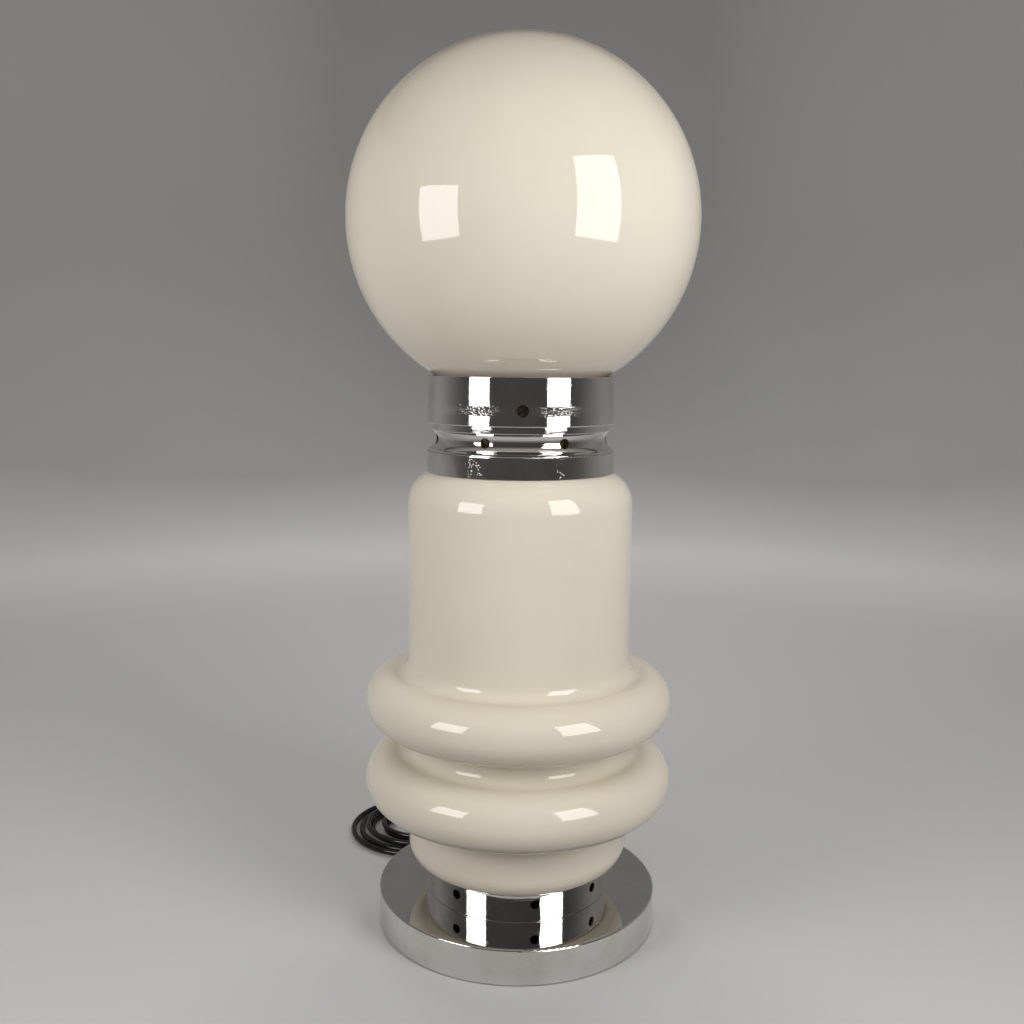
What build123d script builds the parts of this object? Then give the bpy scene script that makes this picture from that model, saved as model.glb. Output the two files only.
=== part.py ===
"""Table lamp in opal glass: a globe over a ringed body, on chromed metalwork with a flex and plug.

Millimetres. The table is z = 0, the lamp's axis is Z, and its front faces -Y.
"""

import os
from math import cos, dist, pi, radians, sin, sqrt, tan

from build123d import *

# Fits
FIT = 0.05          # radial play of a threaded or located piece in its hole
RUN = 0.3           # play between a moving piece and what it passes
SEAT = 0.4          # radial play of a loose disc or ring in its housing

# Tie rod, and the nuts and washers on it
ROD_R = 5.0
ROD_BORE_R = 3.4
ROD_HOLE_R = ROD_R + 0.2
NUT_FLATS = 14.0
NUT_T = 3.5
WASHER_R = 11.5
WASHER_T = 1.5
ROD_PLAY = 0.5

# Base
FELT_T = 2.5
PLATE_T = 1.5
BASE_R = 105.0
BASE_H = 26.4
BASE_EDGE_R = 1.4
COVER_T = 1.5
COVER_LIFT = 1.0
WEIGHT_T = 11.0
NUT_RECESS_R = 13.0
NUT_RECESS_H = 6.0
PILLAR_R = 6.0
PILLAR_OUT = 72.0
PLATE_SCREW_R = 2.0
PLATE_SCREW_HEAD_R = 3.4
PLATE_SCREW_L = 8.0

# Foot cup under the body
FOOT_R = 69.0
FOOT_T = 1.4
FOOT_H = 20.8
FOOT_EDGE_R = 1.0
FOOT_SEAM_R = 0.6
FOOT_LEDGE_R = 57.0
FOOT_VENT_R = 3.5
FOOT_VENT_H = 13.2
FOOT_VENT_ANGLES = (-38.7, 11.3, 53.7, 98.3, 142.9, 187.5, 232.1, 276.7)

# Body glass
GLASS_T = 3.5
SEAL_T = 0.8
SEAL_LIP_T = 1.3
SEAL_LIP_H = 2.5
BODY_R = 82.3
BODY_H = 295.8
BODY_SHOULDER_R = 24.8
BODY_FOOT_FILLET = 14.5
BODY_MOUTH_R = 59.0
BODY_NECK_R = 54.0
BODY_NECK_H = 11.6
BODY_NECK_FILLET = 2.4
BULGE_OUT = 11.0
BULGE_LOW_R = 21.3
BULGE_TOP_R = 20.6
BULGE_LOW_H = 64.8
BULGE_PITCH = 60.1
BULGE_FILLET = 8.7
BULGE_CREASE = 3.0

# Collar between body and globe
COLLAR_R = 68.3
COLLAR_T = 1.4
CAP_SEAL_T = 1.0
CAP_EDGE_R = 1.1
AIR_HOLES = 6
AIR_HOLE_R = 10.0
AIR_HOLE_OUT = 34.0
WAIST_H = 19.6
WAIST_BORE_R = 59.5
WAIST_TOP_R = 64.6
WAIST_TOP_H = 4.8
WAIST_LOW_R = 65.8
WAIST_LOW_H = 1.8
WAIST_MID_R = 61.9
WAIST_STEP = 1.0
WAIST_EDGE_R = 0.7
WAIST_VENTS = 7
WAIST_VENT_R = 3.6
WAIST_VENT_H = 8.2
WAIST_VENT_ANGLE = 28.5
CUP_H = 33.6
CUP_RIM_R = 0.6
CUP_EDGE_R = 0.7

# Globe and its fixing
GLOBE_R = 125.0
GLOBE_PLAY = 4.5
NECK_R = 60.0
NECK_FILLET = 3.0
GLOBE_SEAL_T = 2.0
GLOBE_SEAL_W = 5.0
SCREWS = 3
SCREW_R = 4.15
SCREW_ANGLE = 1.0
SCREW_L = 5.2
SCREW_H = 10.9
SCREW_SLOT_W = 1.2
SCREW_SLOT_H = 1.4
SCREW_BOSS_R = 6.5
SCREW_BOSS_PLAY = 1.2

# Large lampholder and lamp in the globe
HOLDER_R = 20.5
HOLDER_FOOT_R = 11.0
HOLDER_FOOT_H = 12.0
HOLDER_H = 46.0
HOLDER_SOCKET_R = 13.6
HOLDER_SOCKET_H = 29.0
HOLDER_THREAD_H = 9.0
HOLDER_EDGE_R = 1.5
LAMP_REST = 1.5
LAMP_R = 30.0
LAMP_NECK_R = 15.0
LAMP_LENGTH = 76.0
LAMP_CAP_R = 13.1
LAMP_CAP_H = 27.5
LAMP_GLASS_T = 0.8

# Bracket in the body with two small lampholders and lamps
BRACKET_RISE = 40.0
BRACKET_L = 108.0
BRACKET_W = 24.0
BRACKET_T = 2.0
CANDLE_X = 40.0
CANDLE_HOLDER_R = 13.5
CANDLE_HOLDER_H = 45.0
CANDLE_STEM_L = 8.0
CANDLE_STEM_BORE_R = 2.6
CANDLE_SOCKET_R = 7.4
CANDLE_SOCKET_H = 24.0
CANDLE_R = 17.5
CANDLE_NECK_R = 8.5
CANDLE_TIP_R = 4.0
CANDLE_BULB_H = 30.0
CANDLE_LENGTH = 74.0
CANDLE_CAP_R = 6.9
CANDLE_CAP_H = 23.0

# Wires inside
WIRE_R = 0.9
WIRE_PITCH = 2.3
WIRE_BEND_R = 4.0
WIRE_OUTLET_R = 1.6
WIRE_OUTLET_DROP = 18.0

# Flex, strain relief, switch and plug
CORD_R = 2.4
CORD_SHARE = 0.45
GLAND_RUN = 16.0
SWITCH_IN_RUN = 15.0
SWITCH_OUT_RUN = 12.0
COIL_IN_RUN = 11.0
COIL_OUT_RUN = 15.0
PLUG_RUN = 14.0
GLAND_ANGLE = 150.0
GLAND_H = 8.8
GLAND_NECK_R = 3.7
GLAND_FLANGE_R = 4.6
GLAND_FLANGE_T = 1.6
GLAND_TIP_R = 3.2
GLAND_L = 24.0
COIL_X = -90.0
COIL_Y = 143.0
COIL_RADII = (60.0, 53.0, 45.0, 31.0, 28.0, 41.0, 53.0)
COIL_TURNS = 5.5
COIL_LAYER = 2 * CORD_R + 0.5
COIL_CLIMB_AT = 3.6
COIL_CLIMB = 0.5
SWITCH_X = 0.0
SWITCH_L = 62.0
SWITCH_W = 26.0
SWITCH_MID_L = 30.0
SWITCH_END_W = 9.0
SWITCH_SPLIT_H = 8.0
SWITCH_TOP_H = 10.0
SWITCH_T = 2.0
SWITCH_CORNER = 7.0
SWITCH_EDGE_R = 1.8
SWITCH_END_CORNER = 2.5
SWITCH_FOOT_R = 1.2
ROCKER_L = 20.4
ROCKER_W = 11.4
ROCKER_HIGH = 4.2
ROCKER_DIP = 1.0
ROCKER_LOW = 3.0
ROCKER_TILT = 8.0
ROCKER_PIN_R = 1.5
ROCKER_PIN_L = 2.4
ROCKER_DROP = 4.5
ROCKER_PLAY = 0.8
CHEEK_W = 8.0
CHEEK_T = 2.0
CHEEK_H = 6.5
PLUG_X = 16.0
PLUG_Y = 138.0
PLUG_HEADING = 53.0
PLUG_L = 36.0
PLUG_W = 26.0
PLUG_T = 14.0
PLUG_TAIL_W = 9.0
PLUG_HEAD_L = 20.0
PLUG_EDGE_R = 2.0
PIN_R = 2.0
PIN_L = 19.0
PIN_PITCH = 18.6

# Heights that follow from the sizes above
plate_z = FELT_T
cavity_z = plate_z + PLATE_T
weight_top = BASE_H - COVER_T
weight_z = weight_top - WEIGHT_T
rod_z = weight_z
foot_top = BASE_H + FOOT_H
body_z = foot_top + SEAL_T
body_top = body_z + BODY_H
cap_under = body_top + BODY_NECK_H + CAP_SEAL_T
cap_top = cap_under + COLLAR_T
cup_z = cap_top + WAIST_H
cup_floor = cup_z + COLLAR_T
cup_top = cup_z + CUP_H
globe_seat = cup_floor + GLOBE_SEAL_T
holder_z = cup_floor + WASHER_T + NUT_T + ROD_PLAY
rod_top = holder_z + HOLDER_THREAD_H - ROD_PLAY
bracket_z = body_z + BRACKET_RISE
cover_inner_r = BASE_R - COVER_T
disc_r = cover_inner_r - SEAT
shoulder_z = body_top - BODY_SHOULDER_R
cap_inner_r = COLLAR_R - COLLAR_T
globe_z = cup_top + sqrt(GLOBE_R**2 - (cap_inner_r - GLOBE_PLAY) ** 2)
shoulder_reach = cap_inner_r - (BODY_R - BODY_SHOULDER_R)
cap_rim = shoulder_z + sqrt(BODY_SHOULDER_R**2 - shoulder_reach**2) + RUN


def upright(x=0.0, y=0.0):
    """Plane through a vertical axis at x, y: its own X is the radius and its own Y the height."""
    return Plane(origin=(x, y, 0), x_dir=(1, 0, 0), z_dir=(0, -1, 0))


def outward(angle, z):
    """Plane on the lamp's axis at height z that faces outwards at an angle counted from the front."""
    a = radians(angle)
    return Plane(origin=(0, 0, z), x_dir=(cos(a), sin(a), 0), z_dir=(sin(a), -cos(a), 0))


def spread(count, first=0.0):
    """Evenly spaced angles round the axis."""
    return [first + 360 * i / count for i in range(count)]


def ring(inner, outer, bottom, height, mode=Mode.ADD):
    """Section of a plain ring, in an upright plane."""
    with Locations((inner, bottom)):
        Rectangle(outer - inner, height, align=(Align.MIN, Align.MIN), mode=mode)


def corners_at(outline, radius):
    """Corners of an outline at a radius, from the lowest up."""
    return outline.vertices().filter_by_position(Axis.X, radius - FIT, radius + FIT).sort_by(Axis.Y)


def save(builder, name):
    builder.part.label = name
    export_step(builder.part, f"parts/{name}.step")


os.makedirs("parts", exist_ok=True)

# Felt pad and bottom plate that close the base
with BuildPart() as base_felt:
    with BuildSketch(Plane.XY):
        Circle(disc_r)
    extrude(amount=FELT_T)

with BuildPart() as bottom_plate:
    with BuildSketch(Plane.XY.offset(plate_z)):
        Circle(disc_r)
        with PolarLocations(PILLAR_OUT, 3):
            Circle(PLATE_SCREW_R + FIT, mode=Mode.SUBTRACT)
    extrude(amount=PLATE_T)
    holes = bottom_plate.edges().filter_by(GeomType.CIRCLE).group_by(Axis.Z)[0]
    chamfer(holes.sort_by(SortBy.RADIUS)[:3], PLATE_SCREW_HEAD_R - PLATE_SCREW_R)

with BuildPart() as bottom_screws:
    for angle in spread(3):
        spot = (PILLAR_OUT * cos(radians(angle)), PILLAR_OUT * sin(radians(angle)))
        with BuildSketch(upright(*spot)):
            with BuildLine():
                Polyline(
                    (0, plate_z),
                    (PLATE_SCREW_HEAD_R - FIT, plate_z),
                    (PLATE_SCREW_R, plate_z + PLATE_SCREW_HEAD_R - FIT - PLATE_SCREW_R),
                    (PLATE_SCREW_R, plate_z + PLATE_SCREW_L),
                    (0, plate_z + PLATE_SCREW_L),
                    close=True,
                )
            make_face()
        revolve(axis=Axis((*spot, 0), (0, 0, 1)))

# Cast weight: the rod's nut sits in its recess and three pillars carry the bottom plate
with BuildPart() as base_weight:
    with BuildSketch(Plane.XY.offset(weight_z)):
        Circle(disc_r)
        Circle(ROD_HOLE_R, mode=Mode.SUBTRACT)
    extrude(amount=WEIGHT_T)
    with BuildSketch(Plane.XY.offset(weight_z)):
        Circle(NUT_RECESS_R)
    extrude(amount=NUT_RECESS_H, mode=Mode.SUBTRACT)
    with BuildSketch(Plane.XY.offset(cavity_z)):
        with PolarLocations(PILLAR_OUT, 3):
            Circle(PILLAR_R)
    extrude(amount=weight_z - cavity_z)
    with BuildSketch(Plane.XY.offset(cavity_z)):
        with PolarLocations(PILLAR_OUT, 3):
            Circle(PLATE_SCREW_R + FIT)
    extrude(amount=PLATE_SCREW_L, mode=Mode.SUBTRACT)

# Spun cover of the base, open below
with BuildPart() as base_cover:
    with BuildSketch(Plane.XY.offset(COVER_LIFT)):
        Circle(BASE_R)
    extrude(amount=BASE_H - COVER_LIFT)
    fillet(base_cover.edges().sort_by(Axis.Z)[-1], BASE_EDGE_R)
    with BuildSketch(Plane.XY):
        Circle(cover_inner_r)
    extrude(amount=weight_top, mode=Mode.SUBTRACT)
    with BuildSketch(Plane.XY.offset(weight_top)):
        Circle(ROD_HOLE_R)
    extrude(amount=COVER_T, mode=Mode.SUBTRACT)
    with BuildSketch(outward(GLAND_ANGLE, GLAND_H)):
        Circle(GLAND_NECK_R + FIT)
    extrude(amount=BASE_R + 1, mode=Mode.SUBTRACT)

# Foot cup: clamped to the base by its floor, with an inward ledge for the glass
with BuildPart() as foot_cup:
    with BuildSketch(upright()):
        with BuildLine():
            Polyline(
                (ROD_HOLE_R, BASE_H),
                (FOOT_R, BASE_H),
                (FOOT_R, foot_top),
                (FOOT_LEDGE_R, foot_top),
                (FOOT_LEDGE_R, foot_top - FOOT_T),
                (FOOT_R - FOOT_T, foot_top - FOOT_T),
                (FOOT_R - FOOT_T, BASE_H + FOOT_T),
                (ROD_HOLE_R, BASE_H + FOOT_T),
                close=True,
            )
        make_face()
    revolve(axis=Axis.Z)
    rims = foot_cup.edges().filter_by(GeomType.CIRCLE).group_by(Axis.Z)
    fillet(rims[-1].sort_by(SortBy.RADIUS)[-1], FOOT_EDGE_R)
    rims = foot_cup.edges().filter_by(GeomType.CIRCLE).group_by(Axis.Z)
    fillet(rims[0].sort_by(SortBy.RADIUS)[-1], FOOT_SEAM_R)
    for angle in FOOT_VENT_ANGLES:
        with BuildSketch(outward(angle, BASE_H + FOOT_VENT_H)):
            Circle(FOOT_VENT_R)
        extrude(amount=FOOT_R + 1, mode=Mode.SUBTRACT)

# Angle-section seal that centres the body glass on the foot cup
with BuildPart() as body_seal_lower:
    with BuildSketch(upright()):
        ring(FOOT_LEDGE_R + SEAT, FOOT_R - FOOT_T, foot_top, SEAL_T)
        ring(FOOT_LEDGE_R + SEAT, FOOT_LEDGE_R + SEAT + SEAL_LIP_T, foot_top, SEAL_T + SEAL_LIP_H)
    revolve(axis=Axis.Z)

# Body glass: a cylinder with two blown rings, a round shoulder and a short neck
with BuildSketch(upright()) as body_outline:
    with Locations((-BODY_R, body_z)):
        Rectangle(2 * BODY_R, BODY_H, align=(Align.MIN, Align.MIN))
    with Locations((BODY_R + BULGE_OUT, body_z + BULGE_LOW_H)):
        Circle(BULGE_LOW_R)
    with Locations((BODY_R + BULGE_OUT, body_z + BULGE_LOW_H + BULGE_PITCH)):
        Circle(BULGE_TOP_R)
    fillet(corners_at(body_outline, BODY_R)[-1], BODY_SHOULDER_R)
    fillet(corners_at(body_outline, BODY_R)[2:5], BULGE_FILLET)
    fillet(corners_at(body_outline, BODY_R)[1], BULGE_CREASE)
    fillet(corners_at(body_outline, BODY_R)[0], BODY_FOOT_FILLET)
    with Locations((-BODY_NECK_R, shoulder_z)):
        Rectangle(2 * BODY_NECK_R, BODY_SHOULDER_R + BODY_NECK_H, align=(Align.MIN, Align.MIN))
    fillet(corners_at(body_outline, BODY_NECK_R)[0], BODY_NECK_FILLET)

with BuildPart() as body_glass:
    with BuildSketch(upright()):
        add(body_outline.sketch_local)
        offset(body_outline.sketch_local, amount=-GLASS_T, mode=Mode.SUBTRACT)
        with Locations((BODY_NECK_R - GLASS_T, body_z)):
            Rectangle(2 * BODY_R, 2 * BODY_H, align=(Align.MAX, Align.MIN), mode=Mode.SUBTRACT)
        with Locations((BODY_MOUTH_R, body_z)):
            Rectangle(2 * BODY_R, 2 * GLASS_T, align=(Align.MAX, Align.MIN), mode=Mode.SUBTRACT)
    revolve(axis=Axis.Z)

# Collar, from the body up: seal, cap, vented waist ring and the cup that holds the globe
with BuildPart() as body_seal_upper:
    with BuildSketch(upright()):
        ring(BODY_NECK_R - GLASS_T, BODY_NECK_R, cap_under - CAP_SEAL_T, CAP_SEAL_T)
    revolve(axis=Axis.Z)

with BuildPart() as body_cap:
    with BuildSketch(Plane.XY.offset(cap_rim)):
        Circle(COLLAR_R)
    extrude(amount=cap_top - cap_rim)
    fillet(body_cap.edges().sort_by(Axis.Z)[-1], CAP_EDGE_R)
    with BuildSketch(Plane.XY.offset(cap_rim)):
        Circle(cap_inner_r)
    extrude(amount=cap_under - cap_rim, mode=Mode.SUBTRACT)
    with BuildSketch(Plane.XY.offset(cap_under)):
        Circle(ROD_HOLE_R)
        with PolarLocations(AIR_HOLE_OUT, AIR_HOLES):
            Circle(AIR_HOLE_R)
    extrude(amount=COLLAR_T, mode=Mode.SUBTRACT)

with BuildPart() as waist_ring:
    with BuildSketch(upright()) as waist_section:
        with BuildLine():
            Polyline(
                (WAIST_LOW_R, cap_top + WAIST_LOW_H),
                (WAIST_LOW_R + WAIST_STEP, cap_top + WAIST_STEP),
                (WAIST_LOW_R + WAIST_STEP, cap_top),
                (WAIST_BORE_R, cap_top),
                (WAIST_BORE_R, cup_z),
                (WAIST_TOP_R, cup_z),
                (WAIST_TOP_R, cup_z - WAIST_TOP_H),
            )
            ThreePointArc(
                (WAIST_TOP_R, cup_z - WAIST_TOP_H),
                (WAIST_MID_R, cap_top + WAIST_VENT_H),
                (WAIST_LOW_R, cap_top + WAIST_LOW_H),
            )
        make_face()
        fillet(corners_at(waist_section, WAIST_TOP_R)[0], WAIST_EDGE_R)
    revolve(axis=Axis.Z)
    for angle in spread(WAIST_VENTS, WAIST_VENT_ANGLE):
        with BuildSketch(outward(angle, cap_top + WAIST_VENT_H)):
            Circle(WAIST_VENT_R)
        extrude(amount=COLLAR_R, mode=Mode.SUBTRACT)

with BuildPart() as globe_cup:
    with BuildSketch(Plane.XY.offset(cup_z)):
        Circle(COLLAR_R)
    extrude(amount=CUP_H)
    fillet(globe_cup.edges().sort_by(Axis.Z)[0], CUP_EDGE_R)
    with BuildSketch(Plane.XY.offset(cup_floor)):
        Circle(cap_inner_r)
    extrude(amount=CUP_H, mode=Mode.SUBTRACT)
    fillet(globe_cup.edges().group_by(Axis.Z)[-1], CUP_RIM_R)
    with BuildSketch(Plane.XY.offset(cup_z)):
        Circle(ROD_HOLE_R)
        with PolarLocations(AIR_HOLE_OUT, AIR_HOLES):
            Circle(AIR_HOLE_R)
    extrude(amount=COLLAR_T, mode=Mode.SUBTRACT)
    for angle in spread(SCREWS, SCREW_ANGLE):
        with BuildSketch(outward(angle, cup_z + SCREW_H).offset(NECK_R + SCREW_BOSS_PLAY)):
            Circle(SCREW_BOSS_R)
        extrude(amount=cap_inner_r + COLLAR_T / 2 - NECK_R - SCREW_BOSS_PLAY)
        with BuildSketch(outward(angle, cup_z + SCREW_H)):
            Circle(SCREW_R + FIT)
        extrude(amount=COLLAR_R + 1, mode=Mode.SUBTRACT)

with BuildPart() as globe_screws:
    for angle in spread(SCREWS, SCREW_ANGLE):
        tip = outward(angle, cup_z + SCREW_H).offset(NECK_R + RUN)
        with BuildSketch(tip):
            Circle(SCREW_R)
        extrude(amount=SCREW_L)
        with BuildSketch(tip.offset(SCREW_L - SCREW_SLOT_H)):
            Rectangle(2 * SCREW_R, SCREW_SLOT_W, rotation=35)
        extrude(amount=SCREW_SLOT_H, mode=Mode.SUBTRACT)

# Globe: a sphere with a plain neck that stands on a soft ring in the cup
with BuildPart() as globe_seal:
    with BuildSketch(upright()):
        ring(NECK_R + SEAT - GLOBE_SEAL_W, NECK_R + SEAT, cup_floor, GLOBE_SEAL_T)
    revolve(axis=Axis.Z)

with BuildSketch(upright()) as globe_outline:
    with Locations((0, globe_z)):
        Circle(GLOBE_R)
    with Locations((0, globe_seat - GLASS_T)):
        Rectangle(2 * NECK_R, globe_z - globe_seat, align=(Align.CENTER, Align.MIN))
    fillet(globe_outline.vertices().sort_by(Axis.Y)[2:4], NECK_FILLET)

with BuildPart() as globe_glass:
    with BuildSketch(upright()):
        add(globe_outline.sketch_local)
        offset(globe_outline.sketch_local, amount=-GLASS_T, mode=Mode.SUBTRACT)
        with Locations((0, globe_z)):
            Rectangle(2 * GLOBE_R, 4 * GLOBE_R, align=(Align.MAX, Align.CENTER), mode=Mode.SUBTRACT)
        with Locations((0, globe_seat)):
            Rectangle(2 * GLOBE_R, GLOBE_R, align=(Align.CENTER, Align.MAX), mode=Mode.SUBTRACT)
    revolve(axis=Axis.Z)

# Tie rod from the weight to the large lampholder, with a side outlet for each small lampholder's wire
with BuildPart() as tie_rod:
    with BuildSketch(Plane.XY.offset(rod_z)):
        Circle(ROD_R)
        Circle(ROD_BORE_R, mode=Mode.SUBTRACT)
    extrude(amount=rod_top - rod_z)
    with BuildSketch(Plane.YZ):
        with Locations((0, bracket_z - WIRE_OUTLET_DROP)):
            Circle(WIRE_OUTLET_R)
    extrude(amount=ROD_R + 1, both=True, mode=Mode.SUBTRACT)

weight_washer_z = weight_z + NUT_RECESS_H - WASHER_T
foot_washer_z = BASE_H + FOOT_T
washer_heights = [weight_washer_z, foot_washer_z, cup_floor]
nut_heights = [
    weight_washer_z - NUT_T,
    foot_washer_z + WASHER_T,
    bracket_z - NUT_T,
    bracket_z + BRACKET_T,
    cup_floor + WASHER_T,
]

with BuildPart() as rod_washers:
    for z in washer_heights:
        with BuildSketch(Plane.XY.offset(z)):
            Circle(WASHER_R)
            Circle(ROD_R + FIT, mode=Mode.SUBTRACT)
        extrude(amount=WASHER_T)

with BuildPart() as rod_nuts:
    for z in nut_heights:
        with BuildSketch(Plane.XY.offset(z)):
            RegularPolygon(NUT_FLATS / 2, 6, major_radius=False)
            Circle(ROD_R + FIT, mode=Mode.SUBTRACT)
        extrude(amount=NUT_T)

# Large lampholder and the lamp in it
with BuildPart() as globe_lampholder:
    with BuildSketch(upright()):
        with BuildLine():
            Polyline(
                (0, holder_z),
                (HOLDER_FOOT_R, holder_z),
                (HOLDER_R, holder_z + HOLDER_FOOT_H),
                (HOLDER_R, holder_z + HOLDER_H),
                (HOLDER_SOCKET_R, holder_z + HOLDER_H),
                (HOLDER_SOCKET_R, holder_z + HOLDER_H - HOLDER_SOCKET_H),
                (0, holder_z + HOLDER_H - HOLDER_SOCKET_H),
                close=True,
            )
        make_face()
    revolve(axis=Axis.Z)
    with BuildSketch(Plane.XY.offset(holder_z)):
        Circle(ROD_R + FIT)
    extrude(amount=HOLDER_THREAD_H, mode=Mode.SUBTRACT)
    with BuildSketch(Plane.XY.offset(holder_z)):
        Circle(ROD_BORE_R)
    extrude(amount=HOLDER_H, mode=Mode.SUBTRACT)
    fillet(globe_lampholder.edges().group_by(Axis.Z)[-1].sort_by(SortBy.RADIUS)[-1], HOLDER_EDGE_R)

lamp_z = holder_z + HOLDER_H + LAMP_REST

with BuildPart() as globe_lamp_cap:
    with BuildSketch(upright()):
        ring(0, LAMP_CAP_R, lamp_z - LAMP_CAP_H, LAMP_CAP_H)
        ring(0, LAMP_NECK_R, lamp_z - LAMP_REST + RUN, LAMP_REST - RUN)
    revolve(axis=Axis.Z)


def lamp_section(radius, height, neck_r, tip_r, length):
    """Section of a hollow lamp glass: a round bulb at a height, drawn in to its neck and out to its tip."""
    with Locations((0, height)):
        Circle(radius)
    with Locations((0, length - tip_r)):
        Circle(tip_r)
    Rectangle(2 * neck_r, LAMP_GLASS_T, align=(Align.CENTER, Align.MIN))
    make_hull()


with BuildSketch(upright()) as globe_lamp_outline:
    lamp_section(LAMP_R, LAMP_LENGTH - LAMP_R, LAMP_NECK_R, LAMP_R, LAMP_LENGTH)

with BuildSketch(upright()) as candle_outline:
    lamp_section(CANDLE_R, CANDLE_BULB_H, CANDLE_NECK_R, CANDLE_TIP_R, CANDLE_LENGTH)


def lamp_glass(outline, x, z):
    """Hollow lamp glass that stands on its cap at x, z."""
    with BuildPart() as glass:
        with BuildSketch(Plane(origin=(x, 0, z), x_dir=(1, 0, 0), z_dir=(0, -1, 0))):
            add(outline.sketch_local)
            offset(outline.sketch_local, amount=-LAMP_GLASS_T, mode=Mode.SUBTRACT)
            Rectangle(LAMP_LENGTH, 3 * LAMP_LENGTH, align=(Align.MAX, Align.CENTER), mode=Mode.SUBTRACT)
        revolve(axis=Axis((x, 0, 0), (0, 0, 1)))
    return glass


save(globe_lamp_cap, "globe_lamp_cap")
save(lamp_glass(globe_lamp_outline, 0, lamp_z), "globe_lamp_glass")

# Bracket on the rod inside the body, with a small lampholder and lamp at each end
holder_floor = bracket_z + BRACKET_T
candle_z = holder_floor + CANDLE_HOLDER_H + LAMP_REST

with BuildPart() as lamp_bracket:
    with BuildSketch(Plane.XY.offset(bracket_z)):
        SlotOverall(BRACKET_L, BRACKET_W)
        Circle(ROD_R + FIT, mode=Mode.SUBTRACT)
        with Locations((-CANDLE_X, 0), (CANDLE_X, 0)):
            Circle(ROD_R + FIT, mode=Mode.SUBTRACT)
    extrude(amount=BRACKET_T)

with BuildPart() as candle_nuts:
    with BuildSketch(Plane.XY.offset(bracket_z - NUT_T)):
        with Locations((-CANDLE_X, 0), (CANDLE_X, 0)):
            RegularPolygon(NUT_FLATS / 2, 6, major_radius=False)
            Circle(ROD_R + FIT, mode=Mode.SUBTRACT)
    extrude(amount=NUT_T)

for side, x in (("left", -CANDLE_X), ("right", CANDLE_X)):
    with BuildPart() as candle_holder:
        with BuildSketch(upright(x)):
            ring(0, CANDLE_HOLDER_R, holder_floor, CANDLE_HOLDER_H)
            ring(0, ROD_R, holder_floor - CANDLE_STEM_L, CANDLE_STEM_L)
            socket_z = holder_floor + CANDLE_HOLDER_H - CANDLE_SOCKET_H
            ring(0, CANDLE_SOCKET_R, socket_z, 2 * CANDLE_SOCKET_H, Mode.SUBTRACT)
            ring(0, CANDLE_STEM_BORE_R, holder_floor - CANDLE_STEM_L, CANDLE_HOLDER_H, Mode.SUBTRACT)
        revolve(axis=Axis((x, 0, 0), (0, 0, 1)))
    save(candle_holder, f"candle_holder_{side}")
    with BuildPart() as candle_cap:
        with BuildSketch(upright(x)):
            ring(0, CANDLE_CAP_R, candle_z - CANDLE_CAP_H, CANDLE_CAP_H)
            ring(0, CANDLE_NECK_R, candle_z - LAMP_REST + RUN, LAMP_REST - RUN)
        revolve(axis=Axis((x, 0, 0), (0, 0, 1)))
    save(candle_cap, f"candle_cap_{side}")
    save(lamp_glass(candle_outline, x, candle_z), f"candle_glass_{side}")

# Wires: a pair from the flex up the rod to the large lampholder, and one to each small lampholder
gland = outward(GLAND_ANGLE, GLAND_H)
socket_floor = holder_z + HOLDER_H - HOLDER_SOCKET_H


def tube(points, radii, radius):
    """Round tube along straight runs and tangent arcs, and the length of its route."""
    with BuildPart() as strand:
        with BuildLine() as route:
            FilletPolyline(*points, radius=radii)
        with BuildSketch(Plane(origin=route.line @ 0, z_dir=route.line % 0)):
            Circle(radius)
        sweep(path=route.line)
    return strand, route.wire().length


with BuildPart() as supply_wires:
    for offset_x in (-WIRE_PITCH / 2, WIRE_PITCH / 2):
        start = gland.from_local_coords((offset_x, 0, BASE_R + GLAND_L))
        turn = gland.from_local_coords((offset_x, 0, 0))
        route = [tuple(start), tuple(turn), (turn.X, turn.Y, socket_floor)]
        add(tube(route, WIRE_BEND_R, WIRE_R)[0].part)

with BuildPart() as candle_wires:
    outlet_z = bracket_z - WIRE_OUTLET_DROP
    for x in (-CANDLE_X, CANDLE_X):
        side = x / CANDLE_X
        inlet = (side * (ROD_BORE_R - FIT), 0, outlet_z)
        route = [inlet, (x, 0, outlet_z), (x, 0, socket_z)]
        add(tube(route, WIRE_BEND_R, WIRE_R)[0].part)

# Strain relief of the flex: a rubber sleeve, flanged on both sides of the cover and tapered outside
with BuildPart() as strain_relief:
    with BuildSketch(Plane(origin=gland.origin, x_dir=gland.x_dir, z_dir=-gland.y_dir)):
        with BuildLine():
            Polyline(
                (WIRE_PITCH, cover_inner_r - GLAND_FLANGE_T - SEAT),
                (GLAND_FLANGE_R, cover_inner_r - GLAND_FLANGE_T - SEAT),
                (GLAND_FLANGE_R, cover_inner_r - SEAT),
                (GLAND_NECK_R, cover_inner_r - SEAT),
                (GLAND_NECK_R, BASE_R),
                (GLAND_FLANGE_R, BASE_R),
                (GLAND_FLANGE_R, BASE_R + GLAND_FLANGE_T),
                (GLAND_NECK_R, BASE_R + GLAND_FLANGE_T),
                (GLAND_TIP_R, BASE_R + GLAND_L),
                (WIRE_PITCH, BASE_R + GLAND_L),
                close=True,
            )
        make_face()
    revolve(axis=Axis(gland.origin, gland.z_dir))


# Flex
def bend_radii(points):
    """Radius of the arc at each corner: the largest that leaves its share of the shorter run."""
    radii = []
    for before, here, after in zip(points, points[1:], points[2:]):
        run_in = Vector(*here) - Vector(*before)
        run_out = Vector(*after) - Vector(*here)
        turn = radians(run_in.get_angle(run_out))
        radii.append(CORD_SHARE * min(run_in.length, run_out.length) / tan(turn / 2))
    return radii


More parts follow.
